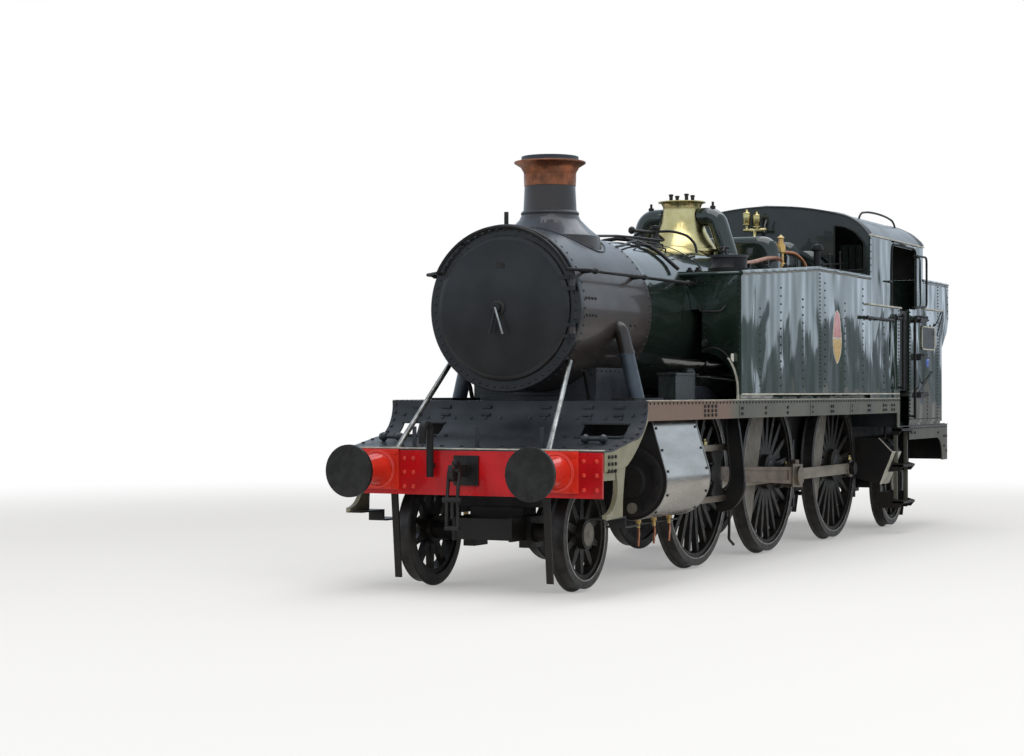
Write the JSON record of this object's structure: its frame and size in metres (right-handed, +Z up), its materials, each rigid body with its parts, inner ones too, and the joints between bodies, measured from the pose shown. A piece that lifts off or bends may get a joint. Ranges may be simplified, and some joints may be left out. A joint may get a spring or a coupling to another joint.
{
  "type": "steam locomotive",
  "caption": "Side-tank steam locomotive with six coupled wheels, leading and trailing trucks, outside cylinders, hollow cab, flared bunker and moving rods.",
  "frame": {"origin": "on the floor under the wheel flanges, midway between the buffer faces, on the centre line", "axes": "+X forward towards the smokebox, +Y to the left, +Z up; the wheel treads run 28.6 mm above the floor because the flanges touch it"},
  "size_m": [12.497, 2.7358, 4.0135],
  "materials": {
    "beam_red": "gloss red",
    "body_green": "gloss dark green",
    "boiler_green": "gloss dark green",
    "brass": "polished",
    "buffer_red": "gloss orange red, heads dark steel",
    "coal_black": "lumps of coal, matt",
    "copper": "polished copper colour",
    "cylinder_steel": "polished sheet steel",
    "floor_wood": "worn planks",
    "frame_black": "semi-matt black paint",
    "hook_steel": "bare steel",
    "platform_green": "satin grey green",
    "rail_steel": "bare steel",
    "rod_steel": "oiled bare steel",
    "roof_black": "matt dark grey",
    "smokebox_black": "matt heat-proof black, a little brown",
    "wheel_dark": "satin dark paint, worn steel treads"
  },
  "bodies": {
    "engine": {"ashpan": "frame_black", "axleboxes": "frame_black", "boiler_barrel": "boiler_green", "brake_gear": "frame_black", "buffers": "buffer_red", "bunker": "body_green", "cab_back": "body_green", "cab_floor": "floor_wood", "cab_front": "body_green", "cab_roof": "roof_black", "cab_sides": "body_green", "chimney": "smokebox_black", "chimney_cap": "copper", "coal": "coal_black", "coupled_springs": "frame_black", "cylinder_covers": "frame_black", "cylinders": "cylinder_steel", "drawhooks": "hook_steel", "firebox": "boiler_green", "footsteps": "frame_black", "front_buffer_beam": "beam_red", "front_stays": "hook_steel", "handrails": "rail_steel", "lubricators": "platform_green", "main_frames": "frame_black", "motion_brackets": "frame_black", "rear_buffer_beam": "frame_black", "rear_sandboxes": "frame_black", "running_plates": "platform_green", "safety_valve_bonnet": "brass", "side_tanks": "body_green", "slide_bars": "rod_steel", "smokebox": "smokebox_black", "smokebox_saddle": "smokebox_black", "steam_pipes": "smokebox_black", "top_feeds": "brass", "vacuum_pipes": "frame_black", "valances": "platform_green", "whistles": "brass"},
    "leading_truck": {"leading_truck_frame": "frame_black"},
    "leading_wheels": {"leading_wheelset": "wheel_dark"},
    "trailing_truck": {"trailing_truck_frame": "frame_black"},
    "trailing_wheels": {"trailing_wheelset": "wheel_dark"},
    "driving_wheels": {"driving_wheelset": "wheel_dark"},
    "front_coupled_wheels": {"front_coupled_wheelset": "wheel_dark"},
    "rear_coupled_wheels": {"rear_coupled_wheelset": "wheel_dark"},
    "coupling_rods_left": {"coupling_rod_left": "rod_steel"},
    "coupling_rods_right": {"coupling_rod_right": "rod_steel"},
    "motion_left": {"crosshead_left": "rod_steel", "connecting_rod_left": "rod_steel"},
    "motion_right": {"crosshead_right": "rod_steel", "connecting_rod_right": "rod_steel"},
    "door_of_smokebox": {"smokebox_door": "smokebox_black"},
    "lid_left": {"filler_lid_left": "platform_green"},
    "lid_right": {"filler_lid_right": "platform_green"},
    "door_left": {"cab_door_left": "body_green"},
    "door_right": {"cab_door_right": "body_green"}
  },
  "joints": [
    {"name": "leading_truck_turn", "type": "hinge", "parent": "engine", "child": "leading_truck", "pos_m": [3, 0, 0.5586], "axis": [0, 0, 1], "range_deg": [-2, 2]},
    {"name": "leading_wheels_turn", "type": "hinge", "parent": "leading_truck", "child": "leading_wheels", "pos_m": [5, 0, 0.5112], "axis": [0, 1, 0], "continuous": true},
    {"name": "trailing_truck_turn", "type": "hinge", "parent": "engine", "child": "trailing_truck", "pos_m": [-2.9, 0, 0.5586], "axis": [0, 0, 1], "range_deg": [-2, 2]},
    {"name": "trailing_wheels_turn", "type": "hinge", "parent": "trailing_truck", "child": "trailing_wheels", "pos_m": [-4.6774, 0, 0.5874], "axis": [0, 1, 0], "continuous": true},
    {"name": "driving_wheels_turn", "type": "hinge", "parent": "engine", "child": "driving_wheels", "pos_m": [0.174, 0, 0.8922], "axis": [0, 1, 0], "continuous": true},
    {"name": "front_coupled_wheels_turn", "type": "hinge", "parent": "engine", "child": "front_coupled_wheels", "pos_m": [2.3076, 0, 0.8922], "axis": [0, 1, 0], "continuous": true},
    {"name": "rear_coupled_wheels_turn", "type": "hinge", "parent": "engine", "child": "rear_coupled_wheels", "pos_m": [-2.1882, 0, 0.8922], "axis": [0, 1, 0], "continuous": true},
    {"name": "coupling_rods_left_stay_level", "type": "hinge", "parent": "driving_wheels", "child": "coupling_rods_left", "pos_m": [-0.20329, 0.887, 0.83918], "axis": [0, 1, 0], "continuous": true},
    {"name": "coupling_rods_right_stay_level", "type": "hinge", "parent": "driving_wheels", "child": "coupling_rods_right", "pos_m": [0.12097, -0.887, 1.26949], "axis": [0, 1, 0], "continuous": true},
    {"name": "motion_left_slide", "type": "slide", "parent": "engine", "child": "motion_left", "axis": [1, 0, 0], "range_m": [-0.0019, 0.7598]},
    {"name": "motion_right_slide", "type": "slide", "parent": "engine", "child": "motion_right", "axis": [1, 0, 0], "range_m": [-0.3086, 0.4526]},
    {"name": "smokebox_door_open", "type": "hinge", "parent": "engine", "child": "door_of_smokebox", "pos_m": [5.01, 0.692, 2.5186], "axis": [0, 0, 1], "range_deg": [0, 110]},
    {"name": "filler_lid_left_open", "type": "hinge", "parent": "engine", "child": "lid_left", "pos_m": [1.806, 1.045, 3.1276], "axis": [0, -1, 0], "range_deg": [0, 105]},
    {"name": "filler_lid_right_open", "type": "hinge", "parent": "engine", "child": "lid_right", "pos_m": [1.806, -1.045, 3.1276], "axis": [0, -1, 0], "range_deg": [0, 105]},
    {"name": "cab_door_left_open", "type": "hinge", "parent": "engine", "child": "door_left", "pos_m": [-3.784, 1.261, 2.2286], "axis": [0, 0, -1], "range_deg": [0, 90]},
    {"name": "cab_door_right_open", "type": "hinge", "parent": "engine", "child": "door_right", "pos_m": [-3.784, -1.261, 2.2286], "axis": [0, 0, 1], "range_deg": [0, 90]}
  ],
  "couplings": [
    {"joint": "front_coupled_wheels_turn", "follows": "driving_wheels_turn", "ratio": 1},
    {"joint": "rear_coupled_wheels_turn", "follows": "driving_wheels_turn", "ratio": 1},
    {"joint": "coupling_rods_left_stay_level", "follows": "driving_wheels_turn", "ratio": -1},
    {"joint": "coupling_rods_right_stay_level", "follows": "driving_wheels_turn", "ratio": -1}
  ]
}
